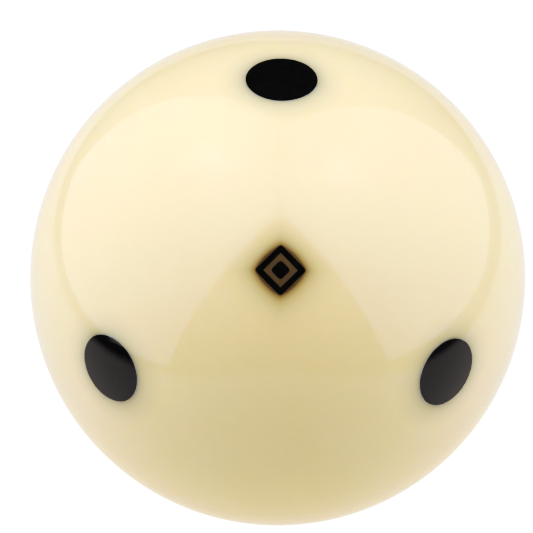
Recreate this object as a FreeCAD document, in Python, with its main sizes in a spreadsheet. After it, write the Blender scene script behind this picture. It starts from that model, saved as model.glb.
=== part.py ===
import FreeCAD, Part
import math
import os
import Sketcher
from FreeCAD import Placement, Rotation, Vector

# A cue ball in millimetres. The origin is the centre of the ball and +Z points up.
# A cast resin ball holds six round plugs and a mark inlaid in two pieces. Three plugs stand
# evenly round the mark, near the top, front (-Y) and right (+X) of the ball, and each of the
# other three is straight through the ball from one of them.

# Driving dimensions in millimetres and degrees: alias, value, meaning.
DIMENSIONS = [
    ("ball_diameter", 57.15, "outside diameter of the ball"),
    ("spot_diameter", 8.3, "diameter of a round plug and of its socket"),
    ("spot_depth", 4.0, "from the outer end of a plug in to its shoulder"),
    ("spot_lean", 52.3, "angle at the centre of the ball between the mark and a plug beside it"),
    ("drill_point_angle", 118.0, "full angle of the cone at the bottom of a socket"),
    ("frame_half_diagonal", 3.0, "centre of the mark to a corner of its frame, before rounding"),
    ("stroke_width", 0.7, "width of the frame round the mark"),
    ("mark_gap", 0.6, "ball resin left between the frame and the diamond"),
    ("mark_depth", 0.8, "depth of the pockets under the centre of the mark"),
    ("overshoot", 1.0, "how far a cutting profile runs past the surface of the ball"),
]

# Sizes worked out from the driving dimensions, as expressions on the sheet.
BALL_RADIUS = "sizes.ball_diameter / 2"
OUTSIDE = f"{BALL_RADIUS} + sizes.overshoot"
SPOT_RADIUS = "sizes.spot_diameter / 2"
SPOT_SHOULDER = f"{BALL_RADIUS} - sizes.spot_depth"
SPOT_TIP = f"{SPOT_SHOULDER} - {SPOT_RADIUS} / tan(sizes.drill_point_angle * 1 deg / 2)"
MARK_FLOOR = f"{BALL_RADIUS} - sizes.mark_depth"
MARK_THICKNESS = "sizes.mark_depth + sizes.overshoot"
MARK_REACH = "sizes.frame_half_diagonal + sizes.overshoot"
CORNER_RADIUS = "sizes.stroke_width / 2"
FRAME_OUTSIDE = "sizes.frame_half_diagonal"
FRAME_INSIDE = f"{FRAME_OUTSIDE} - sizes.stroke_width * sqrt(2)"
DIAMOND = f"{FRAME_INSIDE} - sizes.mark_gap * sqrt(2)"

# Every piece is modelled with the mark facing +Z and standing upright along +Y, and is then
# turned so that the mark faces along (1, -1, 1), with its own X level.
UP = Vector(0, 0, 1)
MARK_OUT = Vector(1, -1, 1)
MARK_LEVEL = Vector(1, 1, 0)
MARK_TURN = Rotation(MARK_LEVEL, MARK_OUT.cross(MARK_LEVEL), MARK_OUT, "ZXY")

# How far round the mark each plug is from the one above it, in degrees, and the way it points:
# a plug beside the mark points outwards, and the plug straight through the ball from it back.
OUTWARD = 0
BACKWARD = 180
SPOTS = {
    "spot_top": (0, OUTWARD),
    "spot_front": (120, OUTWARD),
    "spot_right": (240, OUTWARD),
    "spot_bottom": (0, BACKWARD),
    "spot_back": (120, BACKWARD),
    "spot_left": (240, BACKWARD),
}

# Names that the sketcher gives to its own origin and axes, and to the points of an edge.
ORIGIN = -1
LEVEL_AXIS = -1
UPRIGHT_AXIS = -2
START = 1
END = 2
CENTRE = 3


def make_sheet(document):
    """Put the driving dimensions in a spreadsheet, one to a row, under their aliases."""
    sheet = document.addObject("Spreadsheet::Sheet", "sizes")
    for row, (alias, value, meaning) in enumerate(DIMENSIONS, start=1):
        sheet.set(f"A{row}", meaning)
        sheet.set(f"B{row}", str(value))
        sheet.setAlias(f"B{row}", alias)
    document.recompute()


def make_body(document, name):
    """Add an empty body whose label names its node."""
    body = document.addObject("PartDesign::Body", name)
    body.Label = name
    return body


def origin_part(body, role):
    """Find one of the body's own origin planes or axes."""
    return next(part for part in body.Origin.OriginFeatures if part.Role == role)


def add_sketch(body, name, plane):
    """Add a sketch flat on one of the body's own origin planes."""
    sketch = body.newObject("Sketcher::SketchObject", name)
    sketch.AttachmentSupport = [(origin_part(body, plane), "")]
    sketch.MapMode = "FlatFace"
    return sketch


def add_floor_sketch(body, name):
    """Add a sketch on the flat floor that the two pockets of the mark share."""
    sketch = add_sketch(body, name, "XY_Plane")
    sketch.setExpression("AttachmentOffset.Base.z", MARK_FLOOR)
    return sketch


def add_leaning_sketch(body, name, way=OUTWARD):
    """Add an upright sketch whose own upright axis leans from the mark towards the top plug."""
    sketch = add_sketch(body, name, "YZ_Plane")
    sketch.AttachmentOffset = Placement(Vector(), Rotation(-UP, 1))
    sketch.setExpression("AttachmentOffset.Rotation.Angle", f"sizes.spot_lean + {way}")
    return sketch


def size(thing, formula):
    """The present value of an expression on the sheet."""
    return float(thing.evalExpression(formula))


def constrain(sketch, kind, *places):
    """Add a constraint that has no size."""
    sketch.addConstraint(Sketcher.Constraint(kind, *places))


def dimension(sketch, kind, places, formula):
    """Add a dimension that follows an expression on the sheet."""
    index = sketch.addConstraint(Sketcher.Constraint(kind, *places, size(sketch, formula)))
    sketch.setExpression(f"Constraints[{index}]", formula)


def add_line(sketch, start, end):
    """Add a straight edge between two points given as pairs."""
    return sketch.addGeometry(Part.LineSegment(Vector(*start), Vector(*end)))


def add_arc(sketch, centre, radius, first_angle, last_angle):
    """Add an arc that runs anticlockwise between two angles in radians."""
    circle = Part.Circle(Vector(*centre), Vector(0, 0, 1), radius)
    return sketch.addGeometry(Part.ArcOfCircle(circle, first_angle, last_angle))


def join_in_loop(sketch, kind, edges):
    """Join the end of every edge to the start of the next, all the way round."""
    for edge, following in zip(edges, edges[1:] + edges[:1]):
        constrain(sketch, kind, edge, END, following, START)


def turn_about(body, feature_type, name, sketch):
    """Revolve a profile all the way round the upright axis of its own sketch."""
    feature = body.newObject(feature_type, name)
    feature.Profile = (sketch, [""])
    feature.ReferenceAxis = (sketch, ["V_Axis"])
    feature.Angle = 360
    body.Tip = feature
    return feature


def push_sketch(body, feature_type, name, sketch, length, backwards):
    """Pad or pocket a profile by a length that follows the sheet."""
    feature = body.newObject(feature_type, name)
    feature.Profile = (sketch, [""])
    feature.setExpression("Length", length)
    feature.Reversed = backwards
    body.Tip = feature
    return feature


def draw_half_disc(sketch):
    """Half of a disc beside the upright axis: the profile of the whole ball."""
    radius = size(sketch, BALL_RADIUS)
    arc = add_arc(sketch, (0, 0), radius, -math.pi / 2, math.pi / 2)
    chord = add_line(sketch, (0, radius), (0, -radius))
    join_in_loop(sketch, "Coincident", [arc, chord])
    constrain(sketch, "Coincident", arc, CENTRE, ORIGIN, START)
    constrain(sketch, "PointOnObject", arc, START, UPRIGHT_AXIS)
    constrain(sketch, "PointOnObject", arc, END, UPRIGHT_AXIS)
    dimension(sketch, "Radius", (arc,), BALL_RADIUS)


def draw_sockets(sketch):
    """Half of a drilled hole at each end of the upright axis: a cone, a wall and an open mouth."""
    radius = size(sketch, SPOT_RADIUS)
    for end in (1, -1):
        tip = end * size(sketch, SPOT_TIP)
        shoulder = end * size(sketch, SPOT_SHOULDER)
        outside = end * size(sketch, OUTSIDE)
        cone = add_line(sketch, (0, tip), (radius, shoulder))
        wall = add_line(sketch, (radius, shoulder), (radius, outside))
        mouth = add_line(sketch, (radius, outside), (0, outside))
        middle = add_line(sketch, (0, outside), (0, tip))
        join_in_loop(sketch, "Coincident", [cone, wall, mouth, middle])
        constrain(sketch, "Vertical", wall)
        constrain(sketch, "Horizontal", mouth)
        constrain(sketch, "PointOnObject", middle, START, UPRIGHT_AXIS)
        constrain(sketch, "PointOnObject", middle, END, UPRIGHT_AXIS)
        dimension(sketch, "DistanceX", (ORIGIN, START, wall, START), SPOT_RADIUS)
        for edge, point, formula in (
            (wall, START, SPOT_SHOULDER),
            (wall, END, OUTSIDE),
            (cone, START, SPOT_TIP),
        ):
            span = (ORIGIN, START, edge, point) if end == 1 else (edge, point, ORIGIN, START)
            dimension(sketch, "DistanceY", span, formula)


def draw_plug(sketch):
    """Half of a plug along the upright axis: a cone, a wall, and an end flush with the ball."""
    radius = size(sketch, SPOT_RADIUS)
    tip = size(sketch, SPOT_TIP)
    shoulder = size(sketch, SPOT_SHOULDER)
    ball_radius = size(sketch, BALL_RADIUS)
    rim_angle = math.acos(radius / ball_radius)
    rim_height = ball_radius * math.sin(rim_angle)
    cone = add_line(sketch, (0, tip), (radius, shoulder))
    wall = add_line(sketch, (radius, shoulder), (radius, rim_height))
    cap = add_arc(sketch, (0, 0), ball_radius, rim_angle, math.pi / 2)
    middle = add_line(sketch, (0, ball_radius), (0, tip))
    join_in_loop(sketch, "Coincident", [cone, wall, cap, middle])
    constrain(sketch, "Vertical", wall)
    constrain(sketch, "Coincident", cap, CENTRE, ORIGIN, START)
    constrain(sketch, "PointOnObject", middle, START, UPRIGHT_AXIS)
    constrain(sketch, "PointOnObject", middle, END, UPRIGHT_AXIS)
    dimension(sketch, "Radius", (cap,), BALL_RADIUS)
    dimension(sketch, "DistanceX", (ORIGIN, START, wall, START), SPOT_RADIUS)
    dimension(sketch, "DistanceY", (ORIGIN, START, wall, START), SPOT_SHOULDER)
    dimension(sketch, "DistanceY", (ORIGIN, START, cone, START), SPOT_TIP)


def draw_skin_trim(sketch):
    """What stands above the ball over the mark: it is cut off to leave an inlay flush."""
    ball_radius = size(sketch, BALL_RADIUS)
    reach = size(sketch, MARK_REACH)
    outside = size(sketch, OUTSIDE)
    edge_angle = math.acos(reach / ball_radius)
    edge_height = ball_radius * math.sin(edge_angle)
    surface = add_arc(sketch, (0, 0), ball_radius, edge_angle, math.pi / 2)
    middle = add_line(sketch, (0, ball_radius), (0, outside))
    top = add_line(sketch, (0, outside), (reach, outside))
    side = add_line(sketch, (reach, outside), (reach, edge_height))
    join_in_loop(sketch, "Coincident", [surface, middle, top, side])
    constrain(sketch, "Coincident", surface, CENTRE, ORIGIN, START)
    constrain(sketch, "PointOnObject", middle, START, UPRIGHT_AXIS)
    constrain(sketch, "PointOnObject", middle, END, UPRIGHT_AXIS)
    constrain(sketch, "Horizontal", top)
    constrain(sketch, "Vertical", side)
    dimension(sketch, "Radius", (surface,), BALL_RADIUS)
    dimension(sketch, "DistanceX", (ORIGIN, START, side, START), MARK_REACH)
    dimension(sketch, "DistanceY", (ORIGIN, START, middle, END), OUTSIDE)


def draw_rounded_diamond(sketch, half_diagonal):
    """A square on its corner. Its corners are rounded by the cutter that makes the pocket."""
    corner_radius = size(sketch, CORNER_RADIUS)
    centre_distance = f"{half_diagonal} - {CORNER_RADIUS} * sqrt(2)"
    distance = size(sketch, centre_distance)
    corners = []
    for quarter in range(4):
        facing = quarter * math.pi / 2
        centre = (distance * math.cos(facing), distance * math.sin(facing))
        corners.append(add_arc(sketch, centre, corner_radius, facing - math.pi / 4, facing + math.pi / 4))
    edges = []
    for corner, following in zip(corners, corners[1:] + corners[:1]):
        start = sketch.getPoint(corner, END)
        end = sketch.getPoint(following, START)
        edges += [corner, add_line(sketch, (start.x, start.y), (end.x, end.y))]
    join_in_loop(sketch, "Tangent", edges)
    dimension(sketch, "Radius", (corners[0],), CORNER_RADIUS)
    for corner in corners[1:]:
        constrain(sketch, "Equal", corners[0], corner)
    right, top, left, bottom = corners
    for corner in (right, left):
        constrain(sketch, "PointOnObject", corner, CENTRE, LEVEL_AXIS)
    for corner in (top, bottom):
        constrain(sketch, "PointOnObject", corner, CENTRE, UPRIGHT_AXIS)
    dimension(sketch, "DistanceX", (ORIGIN, START, right, CENTRE), centre_distance)
    dimension(sketch, "DistanceY", (ORIGIN, START, top, CENTRE), centre_distance)
    dimension(sketch, "DistanceX", (left, CENTRE, ORIGIN, START), centre_distance)
    dimension(sketch, "DistanceY", (bottom, CENTRE, ORIGIN, START), centre_distance)


def draw_sharp_diamond(sketch, half_diagonal):
    """A square on its corner with sharp corners: the island of resin inside the frame."""
    distance = size(sketch, half_diagonal)
    points = [(distance, 0), (0, distance), (-distance, 0), (0, -distance)]
    sides = [add_line(sketch, start, end) for start, end in zip(points, points[1:] + points[:1])]
    join_in_loop(sketch, "Coincident", sides)
    right, top, left, bottom = sides
    for side in (right, left):
        constrain(sketch, "PointOnObject", side, START, LEVEL_AXIS)
    for side in (top, bottom):
        constrain(sketch, "PointOnObject", side, START, UPRIGHT_AXIS)
    dimension(sketch, "DistanceX", (ORIGIN, START, right, START), half_diagonal)
    dimension(sketch, "DistanceY", (ORIGIN, START, top, START), half_diagonal)
    dimension(sketch, "DistanceX", (left, START, ORIGIN, START), half_diagonal)
    dimension(sketch, "DistanceY", (bottom, START, ORIGIN, START), half_diagonal)


def draw_frame(sketch):
    """The frame of the mark: a rounded diamond with a sharp diamond left out of its middle."""
    draw_rounded_diamond(sketch, FRAME_OUTSIDE)
    draw_sharp_diamond(sketch, FRAME_INSIDE)


def draw_diamond(sketch):
    """The solid diamond in the middle of the mark."""
    draw_rounded_diamond(sketch, DIAMOND)


def make_ball(document):
    """The ball: a full sphere with six drilled sockets and the two pockets of the mark."""
    body = make_body(document, "ball_body")
    profile = add_leaning_sketch(body, "ball_profile")
    draw_half_disc(profile)
    turn_about(body, "PartDesign::Revolution", "ball_sphere", profile)

    # Two sockets face each other along one line, and three such lines stand round the mark.
    socket_profile = add_leaning_sketch(body, "socket_profile")
    draw_sockets(socket_profile)
    sockets = turn_about(body, "PartDesign::Groove", "socket_pair", socket_profile)
    ring = body.newObject("PartDesign::PolarPattern", "socket_ring")
    ring.Originals = [sockets]
    ring.Axis = (origin_part(body, "Z_Axis"), [""])
    ring.Angle = 360
    ring.Occurrences = 3
    body.Tip = ring

    # The mark is drawn on the flat floor of its pockets, and they are cut from there outwards.
    outline = add_floor_sketch(body, "mark_outline")
    draw_frame(outline)
    draw_diamond(outline)
    push_sketch(body, "PartDesign::Pocket", "mark_pockets", outline, MARK_THICKNESS, True)
    body.Placement = Placement(Vector(), MARK_TURN)
    return body


def make_spot(document, name, round_mark, way):
    """One resin plug, modelled in the place of the top or bottom one and turned round the mark."""
    body = make_body(document, name)
    profile = add_leaning_sketch(body, f"{name}_profile", way)
    draw_plug(profile)
    turn_about(body, "PartDesign::Revolution", f"{name}_plug", profile)
    body.Placement = Placement(Vector(), MARK_TURN * Rotation(UP, round_mark))
    return body


def make_inlay(document, name, draw_outline):
    """One piece of the mark: padded up from the pocket floor, then trimmed flush with the ball."""
    body = make_body(document, name)
    outline = add_floor_sketch(body, f"{name}_outline")
    draw_outline(outline)
    push_sketch(body, "PartDesign::Pad", f"{name}_pad", outline, MARK_THICKNESS, False)
    skin = add_sketch(body, f"{name}_skin", "XZ_Plane")
    draw_skin_trim(skin)
    turn_about(body, "PartDesign::Groove", f"{name}_trim", skin)
    body.Placement = Placement(Vector(), MARK_TURN)
    return body


def check(document, nodes):
    """Stop if anything failed, or if the pieces together do not fill the ball exactly."""
    for thing in document.Objects:
        if "Invalid" in thing.State or "Error" in thing.State:
            raise RuntimeError(f"{thing.Label} failed to compute: {thing.State}")
        if thing.TypeId == "Sketcher::SketchObject" and not thing.FullyConstrained:
            raise RuntimeError(f"{thing.Label} is not fully constrained")
    for node in nodes:
        if node.Shape.isNull() or not node.Shape.isValid() or len(node.Shape.Solids) != 1:
            raise RuntimeError(f"{node.Label} is not one valid solid")
    ball_volume = 4 / 3 * math.pi * size(nodes[0], BALL_RADIUS) ** 3
    filled = sum(node.Shape.Volume for node in nodes)
    if abs(filled - ball_volume) > 0.001 * ball_volume:
        raise RuntimeError(f"the pieces fill {filled:.1f} of {ball_volume:.1f} cubic millimetres")


def write(nodes):
    """Write each piece to the file named after its label, and print its size."""
    os.makedirs("parts", exist_ok=True)
    for node in nodes:
        node.Shape.exportStep(f"parts/{node.Label}.step")
        box = node.Shape.BoundBox
        corners = f"({box.XMin:.3f} {box.YMin:.3f} {box.ZMin:.3f}) ({box.XMax:.3f} {box.YMax:.3f} {box.ZMax:.3f})"
        print(f"{node.Label:14} {node.Shape.Volume:12.3f} mm3  {corners}")


def main():
    """Build every piece of the ball, check them and write them out."""
    document = FreeCAD.newDocument("cue_ball")
    make_sheet(document)
    nodes = [make_ball(document)]
    nodes += [make_spot(document, name, round_mark, way) for name, (round_mark, way) in SPOTS.items()]
    nodes.append(make_inlay(document, "mark_frame", draw_frame))
    nodes.append(make_inlay(document, "mark_diamond", draw_diamond))
    document.recompute()
    check(document, nodes)
    write(nodes)


main()
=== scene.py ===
import math
import bmesh
import bpy
from mathutils import Euler, Matrix, Quaternion, Vector


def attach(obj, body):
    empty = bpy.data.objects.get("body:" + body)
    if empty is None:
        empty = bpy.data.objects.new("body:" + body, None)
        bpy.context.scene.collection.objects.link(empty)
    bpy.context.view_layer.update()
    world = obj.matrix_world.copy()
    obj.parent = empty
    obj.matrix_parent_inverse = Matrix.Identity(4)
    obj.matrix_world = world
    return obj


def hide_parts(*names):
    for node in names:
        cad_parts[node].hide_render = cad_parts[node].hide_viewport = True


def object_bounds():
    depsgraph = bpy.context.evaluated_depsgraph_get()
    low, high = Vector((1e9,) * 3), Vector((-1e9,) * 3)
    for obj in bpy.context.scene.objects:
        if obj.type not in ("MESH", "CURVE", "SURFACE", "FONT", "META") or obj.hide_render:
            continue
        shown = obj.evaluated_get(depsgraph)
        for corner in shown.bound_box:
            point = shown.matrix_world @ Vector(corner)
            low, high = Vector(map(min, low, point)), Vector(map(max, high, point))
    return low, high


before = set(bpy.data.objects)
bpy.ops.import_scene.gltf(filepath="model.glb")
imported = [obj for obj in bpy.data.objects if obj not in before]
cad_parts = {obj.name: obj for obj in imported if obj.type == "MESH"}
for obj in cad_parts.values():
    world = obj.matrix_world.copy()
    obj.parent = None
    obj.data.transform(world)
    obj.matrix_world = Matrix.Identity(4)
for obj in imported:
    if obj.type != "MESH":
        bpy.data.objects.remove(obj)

cadLow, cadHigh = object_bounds()
ballRadius = (cadHigh.z - cadLow.z) / 2
closeness = {            # shares of the ball's radius
    "weld": 0.00001,     # corners this close are one corner
    "skin": 0.0001,      # and corners this close to the sphere lie on the skin
}
spotTurns = {            # degrees about X and Y that carry +Z to the side of the ball nearest each spot
    "spot_top": (0, 0),
    "spot_bottom": (180, 0),
    "spot_front": (90, 0),
    "spot_back": (-90, 0),
    "spot_left": (0, -90),
    "spot_right": (0, 90),
}


def sideFrame(name):
    turnX, turnY = spotTurns[name]
    return Euler((math.radians(turnX), math.radians(turnY), 0)).to_matrix()


def spotFrame(name):
    # the drill point is the deepest corner of a plug, and it lies on the plug's own axis
    drillPoint = min((vertex.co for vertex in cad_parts[name].data.vertices), key=lambda co: co.length)
    side = sideFrame(name)
    return side.col[2].rotation_difference(drillPoint).to_matrix() @ side


# the mark looks out along (1, -1, 1): its own X runs level, its own Y runs up the ball
markOut = Vector((1, -1, 1)).normalized()
markLevel = Vector((1, 1, 0)).normalized()
markFrame = Matrix((markLevel, markOut.cross(markLevel), markOut)).transposed()


def turnedPoints(nodeName, pieceFrame):
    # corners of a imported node, seen in the frame of its own piece
    back = pieceFrame.transposed()
    return [back @ vertex.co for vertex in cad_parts[nodeName].data.vertices]


def onBall(x, y):
    return Vector((x, y, math.sqrt(ballRadius ** 2 - x * x - y * y)))


def polar(reach, turn):
    return reach * math.cos(turn), reach * math.sin(turn)


def ringOf(count, place):
    return [place(2 * math.pi * step / count) for step in range(count)]


def loftRings(bm, rings):
    # quads between each ring and the next, closed all the way round
    made = [[bm.verts.new(point) for point in ring] for ring in rings]
    for near, far in zip(made, made[1:]):
        for here in range(len(near)):
            there = (here + 1) % len(near)
            bm.faces.new((near[here], near[there], far[there], far[here]))


def fillDisc(bm, cellsAcross, place):
    # a square grid squeezed into a disc, so that no fan of thin triangles meets in the middle:
    # each side of the square takes a quarter of the points round the rim
    rows = []
    for row in range(cellsAcross + 1):
        rows.append([])
        for column in range(cellsAcross + 1):
            across = 2 * column / cellsAcross - 1
            along = 2 * row / cellsAcross - 1
            reach = max(abs(across), abs(along))
            if reach == 0:
                turn = 0
            elif abs(across) >= abs(along):
                turn = math.pi / 4 * along / across + (math.pi if across < 0 else 0)
            else:
                turn = math.pi / 2 - math.pi / 4 * across / along + (math.pi if along < 0 else 0)
            rows[-1].append(bm.verts.new(place(reach, turn)))
    for low, high in zip(rows, rows[1:]):
        for column in range(cellsAcross):
            bm.faces.new((low[column], low[column + 1], high[column + 1], high[column]))


def turnAll(bm, pieceFrame):
    bmesh.ops.transform(bm, matrix=pieceFrame.to_4x4(), verts=bm.verts)


def weld(bm):
    bmesh.ops.remove_doubles(bm, verts=bm.verts, dist=ballRadius * closeness["weld"])


def finishPiece(bm, name, material, nodeName):
    # faces on the skin of the ball take the true normal of a sphere, the rest shade as they lie
    bmesh.ops.recalc_face_normals(bm, faces=bm.faces)
    mesh = bpy.data.meshes.new(name)
    bm.to_mesh(mesh)
    bm.free()
    nearSkin = ballRadius * closeness["skin"]
    onSkin = [abs(vertex.co.length - ballRadius) < nearSkin for vertex in mesh.vertices]
    normals = []
    for face in mesh.polygons:
        face.use_smooth = True
        skinFace = all(onSkin[index] for index in face.vertices)
        for index in face.vertices:
            normals.append(mesh.vertices[index].co.normalized() if skinFace else face.normal.copy())
    mesh.normals_split_custom_set(normals)
    mesh.materials.append(material)
    piece = bpy.data.objects.new(name, mesh)
    bpy.context.scene.collection.objects.link(piece)
    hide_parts(nodeName)
    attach(piece, "root")
    print(f"{name}: {len(mesh.polygons)} faces")


topPoints = turnedPoints("spot_top", spotFrame("spot_top"))
spotSizes = {
    "radius": max(math.hypot(point.x, point.y) for point in topPoints),
    "tip": min(point.z for point in topPoints),    # height of the drill point above the ball's centre
    "pointAngle": math.radians(118),               # full angle of the drill point
    "clearance": 0.000008,                         # left between a plug and its socket
    "aroundCount": 192,                            # points round a rim, a multiple of 8
    "wallRings": 6,
}
spotSizes["shoulder"] = spotSizes["tip"] + spotSizes["radius"] / math.tan(spotSizes["pointAngle"] / 2)


def plugRings(radius, shoulder):
    # the straight wall of a plug or of its socket, from the shoulder up to the skin
    rim = onBall(radius, 0).z
    rings = []
    for step in range(spotSizes["wallRings"] + 1):
        height = shoulder + (rim - shoulder) * step / spotSizes["wallRings"]
        rings.append(ringOf(spotSizes["aroundCount"], lambda turn: Vector((*polar(radius, turn), height))))
    return rings


def drillCone(radius, tip, shoulder):
    return lambda reach, turn: Vector((*polar(radius * reach, turn), tip + (shoulder - tip) * reach))


def makeSpot(name, material):
    clearance = spotSizes["clearance"]
    radius = spotSizes["radius"] - clearance
    tip = spotSizes["tip"] + clearance
    shoulder = spotSizes["shoulder"] + clearance
    cells = spotSizes["aroundCount"] // 4
    bm = bmesh.new()
    fillDisc(bm, cells, lambda reach, turn: onBall(*polar(radius * reach, turn)))
    loftRings(bm, plugRings(radius, shoulder))
    fillDisc(bm, cells, drillCone(radius, tip, shoulder))
    weld(bm)
    turnAll(bm, spotFrame(name))
    finishPiece(bm, name.replace("spot", "spotPlug"), material, name)


framePoints = turnedPoints("mark_frame", markFrame)
markSizes = {
    "tipReach": max(point.x for point in framePoints),   # from the middle to a rounded corner of the frame
    "floor": min(point.z for point in framePoints),      # height of the pocket floor above the ball's centre
    "stroke": 0.0007,
    "gap": 0.0006,
    "cornerRadius": 0.00035,
    "clearance": 0.000006,
    "aroundCount": 192,
    "wallRings": 3,
    "strokeRings": 6,
    "gapRings": 5,
    "skinRings": 8,
    "patchRadius": 0.0046,                               # the skin is opened this far round the mark
    "skinRadius": 0.0039,                                # and built anew this far
}
markSizes["frameReach"] = markSizes["tipReach"] + (math.sqrt(2) - 1) * markSizes["cornerRadius"]
markSizes["holeReach"] = markSizes["frameReach"] - math.sqrt(2) * markSizes["stroke"]
markSizes["diamondReach"] = markSizes["holeReach"] - math.sqrt(2) * markSizes["gap"]


def diamondEdge(turn, reach, cornerRadius, grow=0):
    # distance from the centre to the edge of a square on its corner, with rounded corners
    reach = reach + grow * math.sqrt(2)
    cornerRadius = max(cornerRadius + grow, 0)
    lean = abs((turn + math.pi / 4) % (math.pi / 2) - math.pi / 4)     # angle away from the nearest corner
    centre = reach - cornerRadius * math.sqrt(2)
    tangent = math.atan2(cornerRadius / math.sqrt(2), centre + cornerRadius / math.sqrt(2))
    if lean < tangent:
        return centre * math.cos(lean) + math.sqrt(cornerRadius ** 2 - (centre * math.sin(lean)) ** 2)
    return reach / math.sqrt(2) / math.cos(math.pi / 4 - lean)


def frameOutside(turn, grow=0):
    return diamondEdge(turn, markSizes["frameReach"], markSizes["cornerRadius"], grow)


def frameInside(turn, grow=0):
    return diamondEdge(turn, markSizes["holeReach"], 0, grow)


def diamondOutside(turn, grow=0):
    return diamondEdge(turn, markSizes["diamondReach"], markSizes["cornerRadius"], grow)


def markSkinRing(edge):
    return ringOf(markSizes["aroundCount"], lambda turn: onBall(*polar(edge(turn), turn)))


def markFloorRing(edge, height):
    return ringOf(markSizes["aroundCount"], lambda turn: Vector((*polar(edge(turn), turn), height)))


def blendRings(start, end, count):
    # rings from start to end, both included
    rings = []
    for step in range(count + 1):
        share = step / count
        rings.append([near.lerp(far, share) for near, far in zip(start, end)])
    return rings


def markWall(edge, height):
    return blendRings(markFloorRing(edge, height), markSkinRing(edge), markSizes["wallRings"])


def markSkinStrip(nearEdge, farEdge, count):
    # rings on the skin of the ball between two outlines
    rings = []
    for step in range(count + 1):
        share = step / count
        rings.append(markSkinRing(lambda turn: nearEdge(turn) * (1 - share) + farEdge(turn) * share))
    return rings


def makeMarkFrame(material):
    clearance = markSizes["clearance"]
    outside = lambda turn: frameOutside(turn, -clearance)
    inside = lambda turn: frameInside(turn, clearance)
    floor = markSizes["floor"] + clearance
    bm = bmesh.new()
    loftRings(bm, markSkinStrip(inside, outside, markSizes["strokeRings"]))
    loftRings(bm, markWall(inside, floor))
    loftRings(bm, markWall(outside, floor))
    under = blendRings(markFloorRing(inside, floor), markFloorRing(outside, floor), markSizes["strokeRings"])
    loftRings(bm, under)
    weld(bm)
    turnAll(bm, markFrame)
    finishPiece(bm, "markFrameInlay", material, "mark_frame")


def makeMarkDiamond(material):
    clearance = markSizes["clearance"]
    outside = lambda turn: diamondOutside(turn, -clearance)
    floor = markSizes["floor"] + clearance
    cells = markSizes["aroundCount"] // 4
    bm = bmesh.new()
    fillDisc(bm, cells, lambda reach, turn: onBall(*polar(outside(turn) * reach, turn)))
    loftRings(bm, markWall(outside, floor))
    fillDisc(bm, cells, lambda reach, turn: Vector((*polar(outside(turn) * reach, turn), floor)))
    weld(bm)
    turnAll(bm, markFrame)
    finishPiece(bm, "markDiamondInlay", material, "mark_diamond")


ballSizes = {
    "skinRings": 30,           # between the rim of a socket and the edge of its patch of skin
}


def squareEdge(turn):
    # a point on the square edge where six patches of skin meet as the sides of a cube do
    lean = (turn + math.pi / 4) % (math.pi / 2) - math.pi / 4
    return Vector((*polar(1 / math.cos(lean), turn), 1)).normalized() * ballRadius


def skinRings(name):
    # from the rim of a socket out to the square edge of its patch, all on the ball
    count = spotSizes["aroundCount"]
    circle = ringOf(count, lambda turn: onBall(*polar(spotSizes["radius"], turn)))
    rim = [spotFrame(name) @ point for point in circle]
    edge = [sideFrame(name) @ point for point in ringOf(count, squareEdge)]
    rings = blendRings(rim, edge, ballSizes["skinRings"])
    return [[point.normalized() * ballRadius for point in ring] for ring in rings]


def addSocketPatch(bm, name):
    patch = bmesh.new()
    radius = spotSizes["radius"]
    tip = spotSizes["tip"]
    shoulder = spotSizes["shoulder"]
    fillDisc(patch, spotSizes["aroundCount"] // 4, drillCone(radius, tip, shoulder))
    loftRings(patch, plugRings(radius, shoulder))
    turnAll(patch, spotFrame(name))
    loftRings(patch, skinRings(name))
    joinInto(bm, patch)


def joinInto(bm, patch):
    # copies a patch into the mesh that is being built
    copies = {vertex: bm.verts.new(vertex.co) for vertex in patch.verts}
    for face in patch.faces:
        bm.faces.new([copies[vertex] for vertex in face.verts])
    patch.free()


def openMarkPatch(bm):
    middle = markOut * ballRadius
    reach = markSizes["patchRadius"]
    near = [face for face in bm.faces if (face.calc_center_median() - middle).length < reach]
    bmesh.ops.delete(bm, geom=near, context="FACES")


def addMarkPatch(bm):
    patch = bmesh.new()
    floor = markSizes["floor"]
    cells = markSizes["aroundCount"] // 4
    fillDisc(patch, cells, lambda reach, turn: Vector((*polar(diamondOutside(turn) * reach, turn), floor)))
    loftRings(patch, markWall(diamondOutside, floor))
    loftRings(patch, markSkinStrip(diamondOutside, frameInside, markSizes["gapRings"]))
    loftRings(patch, markWall(frameInside, floor))
    inner, outer = markFloorRing(frameInside, floor), markFloorRing(frameOutside, floor)
    loftRings(patch, blendRings(inner, outer, markSizes["strokeRings"]))
    loftRings(patch, markWall(frameOutside, floor))
    circle = lambda turn: markSizes["skinRadius"]
    loftRings(patch, markSkinStrip(frameOutside, circle, markSizes["skinRings"]))
    turnAll(patch, markFrame)
    joinInto(bm, patch)


def makeBall(material):
    bm = bmesh.new()
    for name in spotTurns:
        addSocketPatch(bm, name)
    weld(bm)
    openMarkPatch(bm)
    addMarkPatch(bm)
    weld(bm)
    # triangles close the band between the old skin and the new
    openEdges = [edge for edge in bm.edges if edge.is_boundary]
    bmesh.ops.triangle_fill(bm, use_beauty=True, edges=openEdges, normal=markOut)
    print("open edges left in the ball:", sum(1 for edge in bm.edges if not edge.is_manifold))
    finishPiece(bm, "ballBody", material, "ball_body")


def newMaterial(name):
    material = bpy.data.materials.new(name)
    material.use_nodes = True
    return material, material.node_tree, material.node_tree.nodes["Principled BSDF"]


def addNode(tree, kind, settings, inputs):
    # inputs holds plain values and the outputs of other nodes alike
    node = tree.nodes.new(kind)
    for name, value in settings.items():
        setattr(node, name, value)
    for place, value in inputs.items():
        if isinstance(value, bpy.types.NodeSocket):
            tree.links.new(value, node.inputs[place])
        else:
            node.inputs[place].default_value = value
    return node


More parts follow.
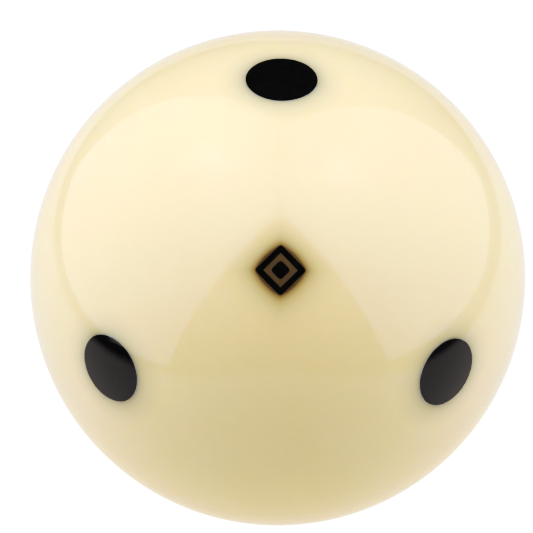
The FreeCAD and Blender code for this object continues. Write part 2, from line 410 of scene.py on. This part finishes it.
def maths(tree, operation, first, second=0.0):
    return addNode(tree, "ShaderNodeMath", {"operation": operation}, {0: first, 1: second}).outputs[0]


def fade(tree, value, low, high, atLow, atHigh):
    # a smooth step between two values of the input
    inputs = {"Value": value, "From Min": low, "From Max": high, "To Min": atLow, "To Max": atHigh}
    step = addNode(tree, "ShaderNodeMapRange", {"interpolation_type": "SMOOTHSTEP"}, inputs)
    return step.outputs["Result"]


def ramp(tree, value, low, high):
    # a straight rise from 0 to 1
    inputs = {"Value": value, "From Min": low, "From Max": high}
    return addNode(tree, "ShaderNodeMapRange", {}, inputs).outputs["Result"]


# a mix node's colour sockets share their names with others, so they go by number:
# 6 and 7 are its two colour inputs, and 2 is its colour output
def multiply(tree, colour, other):
    settings = {"data_type": "RGBA", "blend_type": "MULTIPLY", "clamp_factor": False}
    return addNode(tree, "ShaderNodeMix", settings, {"Factor": 1.0, 6: colour, 7: other}).outputs[2]


def blendColours(tree, share, first, second):
    mix = addNode(tree, "ShaderNodeMix", {"data_type": "RGBA"}, {"Factor": share, 6: first, 7: second})
    return mix.outputs[2]


glossDetail = {
    "noiseRoughness": 0.55,
    "scuffDetail": 3,
    "waveDetail": 2,
    "streaks": ((1, 26, 5), (5, 1, 26), (26, 5, 1)),    # how fine the scuffs are along X, Y and Z
    "scuffLine": (0.60, 0.72),     # how far up its noise a scuff begins, and where it is deepest
    "scuffDepth": 0.25,            # beside the waves
    "waveSize": 0.45,
    "bumpStrength": 0.25,
    "bumpHeight": 0.000012,
    "ior": 1.5,
}


def ballPlaces(tree):
    # where a point of the resin is, with the radius of the ball as the unit
    coordinates = tree.nodes.new("ShaderNodeTexCoord").outputs["Object"]
    scale = {"Vector": coordinates, "Scale": 1 / ballRadius}
    return addNode(tree, "ShaderNodeVectorMath", {"operation": "SCALE"}, scale).outputs[0]


def cloud(tree, places, size, detail, stretch=(1, 1, 1)):
    shaped = addNode(tree, "ShaderNodeMapping", {}, {"Vector": places, "Scale": stretch}).outputs[0]
    rough = glossDetail["noiseRoughness"]
    inputs = {"Vector": shaped, "Scale": 1 / size, "Detail": detail, "Roughness": rough}
    return addNode(tree, "ShaderNodeTexNoise", {}, inputs).outputs["Fac"]


def scuffs(tree, places, finish):
    # hair-fine marks left by polishing and play: thin streaks that run three ways
    streaks = None
    begin, deepest = glossDetail["scuffLine"]
    for stretch in glossDetail["streaks"]:
        streak = cloud(tree, places, finish["scuffSize"], glossDetail["scuffDetail"], stretch)
        line = fade(tree, streak, begin, deepest, 0, 1)
        streaks = line if streaks is None else maths(tree, "MAXIMUM", streaks, line)
    return streaks


def polish(tree, shader, places, finish):
    # the gloss of a polished resin, a little duller along its scuffs and never quite flat
    marks = scuffs(tree, places, finish)
    dull, shine = finish["scuffRoughness"], finish["roughness"]
    tree.links.new(fade(tree, marks, 0, 1, shine, dull), shader.inputs["Roughness"])
    waves = cloud(tree, places, glossDetail["waveSize"], glossDetail["waveDetail"])
    height = maths(tree, "SUBTRACT", waves, maths(tree, "MULTIPLY", marks, glossDetail["scuffDepth"]))
    strength, distance = glossDetail["bumpStrength"], glossDetail["bumpHeight"]
    inputs = {"Height": height, "Strength": strength, "Distance": distance}
    tree.links.new(addNode(tree, "ShaderNodeBump", {}, inputs).outputs[0], shader.inputs["Normal"])
    shader.inputs["IOR"].default_value = glossDetail["ior"]


creamFinish = {
    "colour": (0.940, 0.730, 0.378, 1),
    "cloudColour": (0.915, 0.706, 0.362, 1),   # what the colour drifts to where the resin is cloudier
    "cloudSize": 0.5,
    "cloudDetail": 3,
    "cloudFrom": (0.35, 0.65),                 # where in its noise it starts to cloud and is cloudiest
    "grainSize": 0.012,
    "grainDetail": 2,
    "grainFrom": (0.3, 0.7),
    "grainDepth": 0.985,                       # the brightness of the darkest grain
    "paintedPlugShade": (0.80, 0.84, 0.90, 1),        # painted shade on the resin round a black plug
    "plugShadeReach": 0.0038,                  # metres from the edge of a plug to where that ends
    "paintedRimShade": (0.54, 0.56, 0.64, 1),         # painted shade on the resin right against the plug
    "rimShadeReach": 0.0024,
    "rimShadePower": 3,                        # how steeply that falls away
    "paintedMarkShade": (0.16, 0.14, 0.13, 1),        # painted shade on the resin right against the mark and inside it
    "markShadePower": 1.35,                    # 1 would shade a diamond round it, 2 a circle
    "markShadeStart": 0.0028,                  # metres from the middle of the mark
    "markShadeFall": 0.0014,                   # metres over which that fades to about a third
    "scatterRadius": (1.0, 0.75, 0.3),         # red light travels farthest in the resin
    "scatterScale": 0.0026,
    "roughness": 0.045,
    "scuffRoughness": 0.085,
    "scuffSize": 0.35,
}


def dotWith(tree, places, axis):
    dot = addNode(tree, "ShaderNodeVectorMath", {"operation": "DOT_PRODUCT"}, {0: places, 1: axis})
    return dot.outputs["Value"]


def nearness(tree, places, axes):
    # the cosine of the angle at the ball's centre to the nearest end of the axes
    outward = addNode(tree, "ShaderNodeVectorMath", {"operation": "NORMALIZE"}, {0: places}).outputs[0]
    nearest = 0.0
    for axis in axes:
        nearest = maths(tree, "MAXIMUM", maths(tree, "ABSOLUTE", dotWith(tree, outward, axis)), nearest)
    return nearest


def facingMark(tree, places):
    return maths(tree, "GREATER_THAN", dotWith(tree, places, markOut), 0)


def markReaches(tree, places):
    # how far level and how far upright of the middle of the mark, in metres
    reaches = [maths(tree, "ABSOLUTE", dotWith(tree, places, markFrame.col[axis])) for axis in (0, 1)]
    return [maths(tree, "MULTIPLY", reach, ballRadius) for reach in reaches]


def besideMark(tree, places):
    # share of painted shade: 1 on the mark, dying away outside it in a rounded diamond
    power = creamFinish["markShadePower"]
    level, upright = [maths(tree, "POWER", reach, power) for reach in markReaches(tree, places)]
    reach = maths(tree, "POWER", maths(tree, "ADD", level, upright), 1 / power)
    outside = maths(tree, "MAXIMUM", maths(tree, "SUBTRACT", reach, creamFinish["markShadeStart"]), 0)
    return maths(tree, "EXPONENT", maths(tree, "DIVIDE", outside, -creamFinish["markShadeFall"]))


def shadeAbout(tree, colour, share, shade):
    # paints shade into a colour: darkens it by the shade where the share is 1
    return multiply(tree, colour, blendColours(tree, share, (1, 1, 1, 1), shade))


def creamResin():
    material, tree, shader = newMaterial("creamResin")
    places = ballPlaces(tree)
    finish = creamFinish
    clear, cloudy = finish["cloudFrom"]
    noise = cloud(tree, places, finish["cloudSize"], finish["cloudDetail"])
    clouds = fade(tree, noise, clear, cloudy, 0, 1)
    colour = blendColours(tree, clouds, finish["colour"], finish["cloudColour"])
    dark, light = finish["grainFrom"]
    noise = cloud(tree, places, finish["grainSize"], finish["grainDetail"])
    grain = fade(tree, noise, dark, light, finish["grainDepth"], 1)
    colour = multiply(tree, colour, grain)

    # painted shade: light that would cross the resin is lost in the black pieces, so the colour is painted
    # darker beside them
    axes = [spotFrame(name).col[2] for name in ("spot_top", "spot_front", "spot_right")]
    toPlug = nearness(tree, places, axes)
    rimAngle = math.asin(spotSizes["radius"] / ballRadius)
    shadeAngle = rimAngle + finish["plugShadeReach"] / ballRadius
    beside = fade(tree, toPlug, math.cos(shadeAngle), math.cos(rimAngle), 0, 1)
    colour = shadeAbout(tree, colour, beside, finish["paintedPlugShade"])
    # a second, steeper painted shade right against each plug
    shadeAngle = rimAngle + finish["rimShadeReach"] / ballRadius
    touching = ramp(tree, toPlug, math.cos(shadeAngle), math.cos(rimAngle))
    touching = maths(tree, "POWER", touching, finish["rimShadePower"])
    colour = shadeAbout(tree, colour, touching, finish["paintedRimShade"])
    # painted shade round the mark and inside it, on the side of the ball that faces it
    beside = maths(tree, "MULTIPLY", besideMark(tree, places), facingMark(tree, places))
    colour = shadeAbout(tree, colour, beside, finish["paintedMarkShade"])
    tree.links.new(colour, shader.inputs["Base Color"])

    polish(tree, shader, places, finish)
    shader.inputs["Subsurface Weight"].default_value = 1
    shader.inputs["Subsurface Radius"].default_value = finish["scatterRadius"]
    shader.inputs["Subsurface Scale"].default_value = finish["scatterScale"]
    return material


blackFinish = {
    "colour": (0.0035, 0.0035, 0.0038, 1),
    "speckColour": (0.009, 0.0085, 0.008, 1),
    "speckSize": 0.02,
    "speckDetail": 2,
    "speckFrom": (0.5, 0.75),      # where in its noise a speck starts to show and is clearest
    "roughness": 0.04,
    "scuffRoughness": 0.09,
    "scuffSize": 0.3,
}


def blackResin():
    material, tree, shader = newMaterial("blackResin")
    places = ballPlaces(tree)
    finish = blackFinish
    begin, clearest = finish["speckFrom"]
    noise = cloud(tree, places, finish["speckSize"], finish["speckDetail"])
    specks = fade(tree, noise, begin, clearest, 0, 1)
    colour = blendColours(tree, specks, finish["colour"], finish["speckColour"])
    tree.links.new(colour, shader.inputs["Base Color"])
    polish(tree, shader, places, finish)
    return material


cameraView = {
    "azimuth": math.radians(44.25),
    "elevation": math.radians(33.46),
    "roll": math.radians(1.07),
    "fill": 0.9287,                # share of the frame's width that the ball takes
    "shift": (-0.0211, 0.0214),    # the ball stands a little right of the middle and below it
    "distance": 0.5,
}
studio = {
    "floorRadius": 12,
    "floorPoints": 96,
    "floorColour": (0.05, 0.05, 0.05, 1),
    "backdrop": 1.05,              # plain white behind the ball
    # brightness in the room, and how bright it is shown: dark tones sink, light ones ease off
    "toneCurve": (
        (0.06, 0.055),
        (0.12, 0.195),
        (0.20, 0.352),
        (0.30, 0.512),
        (0.50, 0.695),
        (0.70, 0.838),
        (0.85, 0.912),
    ),
}
softboxGlow = {
    "edge": 0.95,                  # how bright the cloth of a softbox is at its edges
    "hot": 0.75,                   # how much brighter before its lamp
    "lamp": (0.42, 0.55),          # where the lamp stands, as shares of the width and the slope
    "spread": (0.42, 0.40),        # how far its light spreads along them
    "bulb": 1.7,                   # how much brighter still before the bulb itself
    "bulbPlace": (0.51, 0.47),
    "bulbSpread": (0.075, 0.070),
}
# metres right of the ball's centre, beyond it and above it, as the camera sees the room
softboxCorners = {
    "softboxLeft": (
        (-0.087, -0.089, -0.028),
        (-0.117, 0.115, -0.002),
        (-0.003, 0.080, 0.242),
        (-0.003, -0.134, 0.242),
    ),
    "softboxRight": (
        (0.117, -0.111, -0.028),
        (0.155, 0.148, 0.002),
        (-0.002, 0.078, 0.326),
        (-0.002, -0.165, 0.326),
    ),
}


def roomAxes():
    # level right, level away and up, as the camera sees the room
    azimuth = cameraView["azimuth"]
    right = Vector((math.cos(azimuth), math.sin(azimuth), 0))
    away = Vector((-math.sin(azimuth), math.cos(azimuth), 0))
    return right, away, Vector((0, 0, 1))


def makeCamera():
    away, up = roomAxes()[1:]
    elevation = cameraView["elevation"]
    back = up * math.sin(elevation) - away * math.cos(elevation)
    data = bpy.data.cameras.new("studioCamera")
    data.type = "ORTHO"
    data.ortho_scale = 2 * ballRadius / cameraView["fill"]
    data.shift_x, data.shift_y = cameraView["shift"]
    camera = bpy.data.objects.new("studioCamera", data)
    camera.location = back * cameraView["distance"]
    camera.rotation_mode = "QUATERNION"
    camera.rotation_quaternion = (-back).to_track_quat("-Z", "Y") @ Quaternion((0, 0, 1), cameraView["roll"])
    bpy.context.scene.collection.objects.link(camera)
    bpy.context.scene.camera = camera


sheet = {               # lit white cloth under the ball, on a dark floor; its sizes are in metres
    "tint": (1.0, 0.93, 0.90, 1),
    "middle": 0.006,               # to the right of the ball
    "brightHalf": 0.098,           # half its width abreast of the ball, to where it starts to fade
    "darkHalf": 0.118,             # and to where it is dark
    "widening": 0.40,              # how fast that grows away from the camera
    "widest": 0.020,               # and how much it grows at most
    "nearGlow": 0.53,              # brightness on the camera's side of the ball
    "farGlow": 0.78,               # and behind it
    "nearEnd": -0.06,              # where the one turns into the other
    "farEnd": 0.03,
    "endGlow": 0.6,                # the share of that left in the distance
    "end": 0.35,
    "contactTint": (1.12, 0.96, 0.68, 1),       # warm light from the ball itself where it stands
    "contactReach": (0.022, 0.045),
}


def sheetPlaces(tree):
    # how far right of the ball and how far beyond it
    places = tree.nodes.new("ShaderNodeTexCoord").outputs["Object"]
    return [dotWith(tree, places, axis) for axis in roomAxes()[:2]]


def sheetGlow(tree, across, along):
    growth = maths(tree, "MINIMUM", maths(tree, "MULTIPLY", along, sheet["widening"]), sheet["widest"])
    fromMiddle = maths(tree, "ABSOLUTE", maths(tree, "SUBTRACT", across, sheet["middle"]))
    reach = maths(tree, "SUBTRACT", fromMiddle, growth)
    lit = fade(tree, reach, sheet["brightHalf"], sheet["darkHalf"], 1, 0)
    depth = fade(tree, along, sheet["nearEnd"], sheet["farEnd"], sheet["nearGlow"], sheet["farGlow"])
    distance = fade(tree, along, sheet["farEnd"], sheet["end"], 1, sheet["endGlow"])
    return maths(tree, "MULTIPLY", maths(tree, "MULTIPLY", lit, depth), distance)


def sheetTint(tree, across, along):
    squares = [maths(tree, "MULTIPLY", reach, reach) for reach in (across, along)]
    near, far = sheet["contactReach"]
    contact = fade(tree, maths(tree, "SQRT", maths(tree, "ADD", *squares)), near, far, 1, 0)
    return blendColours(tree, contact, sheet["tint"], sheet["contactTint"])


def makeFloor():
    bm = bmesh.new()
    points, radius = studio["floorPoints"], studio["floorRadius"]
    bmesh.ops.create_circle(bm, cap_ends=True, segments=points, radius=radius)
    mesh = bpy.data.meshes.new("studioFloor")
    bm.to_mesh(mesh)
    bm.free()
    floor = bpy.data.objects.new("studioFloor", mesh)
    floor.location.z = -ballRadius
    bpy.context.scene.collection.objects.link(floor)
    material, tree, shader = newMaterial("glowingFloor")
    shader.inputs["Base Color"].default_value = studio["floorColour"]
    shader.inputs["Roughness"].default_value = 1
    shader.inputs["Specular IOR Level"].default_value = 0
    across, along = sheetPlaces(tree)
    tree.links.new(sheetTint(tree, across, along), shader.inputs["Emission Color"])
    tree.links.new(sheetGlow(tree, across, along), shader.inputs["Emission Strength"])
    mesh.materials.append(material)
    floor.visible_camera = False        # it lights the ball and shows in its gloss only


def glowAround(tree, parts, middles, spreads):
    # 1 in the middle, dying away as a bell curve does
    distances = []
    for part, middle, spread in zip(parts, middles, spreads):
        offset = maths(tree, "DIVIDE", maths(tree, "SUBTRACT", part, middle), spread)
        distances.append(maths(tree, "MULTIPLY", offset, offset))
    return maths(tree, "EXPONENT", maths(tree, "MULTIPLY", maths(tree, "ADD", *distances), -1))


def softboxCloth():
    material, tree, shader = newMaterial("softboxCloth")
    places = tree.nodes.new("ShaderNodeTexCoord").outputs["UV"]
    parts = addNode(tree, "ShaderNodeSeparateXYZ", {}, {0: places}).outputs
    lamp = glowAround(tree, parts, softboxGlow["lamp"], softboxGlow["spread"])
    bulb = glowAround(tree, parts, softboxGlow["bulbPlace"], softboxGlow["bulbSpread"])
    glow = maths(tree, "ADD", maths(tree, "MULTIPLY", lamp, softboxGlow["hot"]), softboxGlow["edge"])
    glow = maths(tree, "ADD", maths(tree, "MULTIPLY", bulb, softboxGlow["bulb"]), glow)
    shader.inputs["Base Color"].default_value = (0, 0, 0, 1)
    shader.inputs["Emission Color"].default_value = (1, 1, 1, 1)
    tree.links.new(glow, shader.inputs["Emission Strength"])
    return material


def makeSoftbox(name, corners, cloth):
    right, away, up = roomAxes()
    mesh = bpy.data.meshes.new(name)
    mesh.from_pydata([right * x + away * y + up * z for x, y, z in corners], [], [(0, 1, 2, 3)])
    shares = mesh.uv_layers.new(name="shares").data
    for corner, place in zip(shares, ((0, 0), (1, 0), (1, 1), (0, 1))):
        corner.uv = place
    mesh.materials.append(cloth)
    softbox = bpy.data.objects.new(name, mesh)
    softbox.visible_camera = False
    bpy.context.scene.collection.objects.link(softbox)


def makeRoom():
    # a dark room, with a plain white backdrop where the camera looks past the ball
    world = bpy.data.worlds.new("studioRoom")
    bpy.context.scene.world = world
    world.use_nodes = True
    tree = world.node_tree
    dark = tree.nodes["Background"]
    dark.inputs["Strength"].default_value = 0
    inputs = {"Color": (1, 1, 1, 1), "Strength": studio["backdrop"]}
    bright = addNode(tree, "ShaderNodeBackground", {}, inputs)
    path = tree.nodes.new("ShaderNodeLightPath")
    inputs = {"Fac": path.outputs["Is Camera Ray"], 1: dark.outputs[0], 2: bright.outputs[0]}
    mix = addNode(tree, "ShaderNodeMixShader", {}, inputs)
    tree.links.new(mix.outputs["Shader"], tree.nodes["World Output"].inputs["Surface"])


def setTone():
    view = bpy.context.scene.view_settings
    view.view_transform = "Standard"
    view.use_curve_mapping = True
    curve = view.curve_mapping.curves[3]        # the one for red, green and blue together
    for brightness, shown in studio["toneCurve"]:
        curve.points.new(brightness, shown)
    view.curve_mapping.update()


cream = creamResin()
black = blackResin()
print("resins mixed")
makeBall(cream)
for spotName in spotTurns:
    makeSpot(spotName, black)
makeMarkFrame(black)
makeMarkDiamond(black)
print("ball built")

makeCamera()
makeFloor()
print("camera and floor in place")
cloth = softboxCloth()
for boxName, corners in softboxCorners.items():
    makeSoftbox(boxName, corners, cloth)
makeRoom()
setTone()
print("studio built")
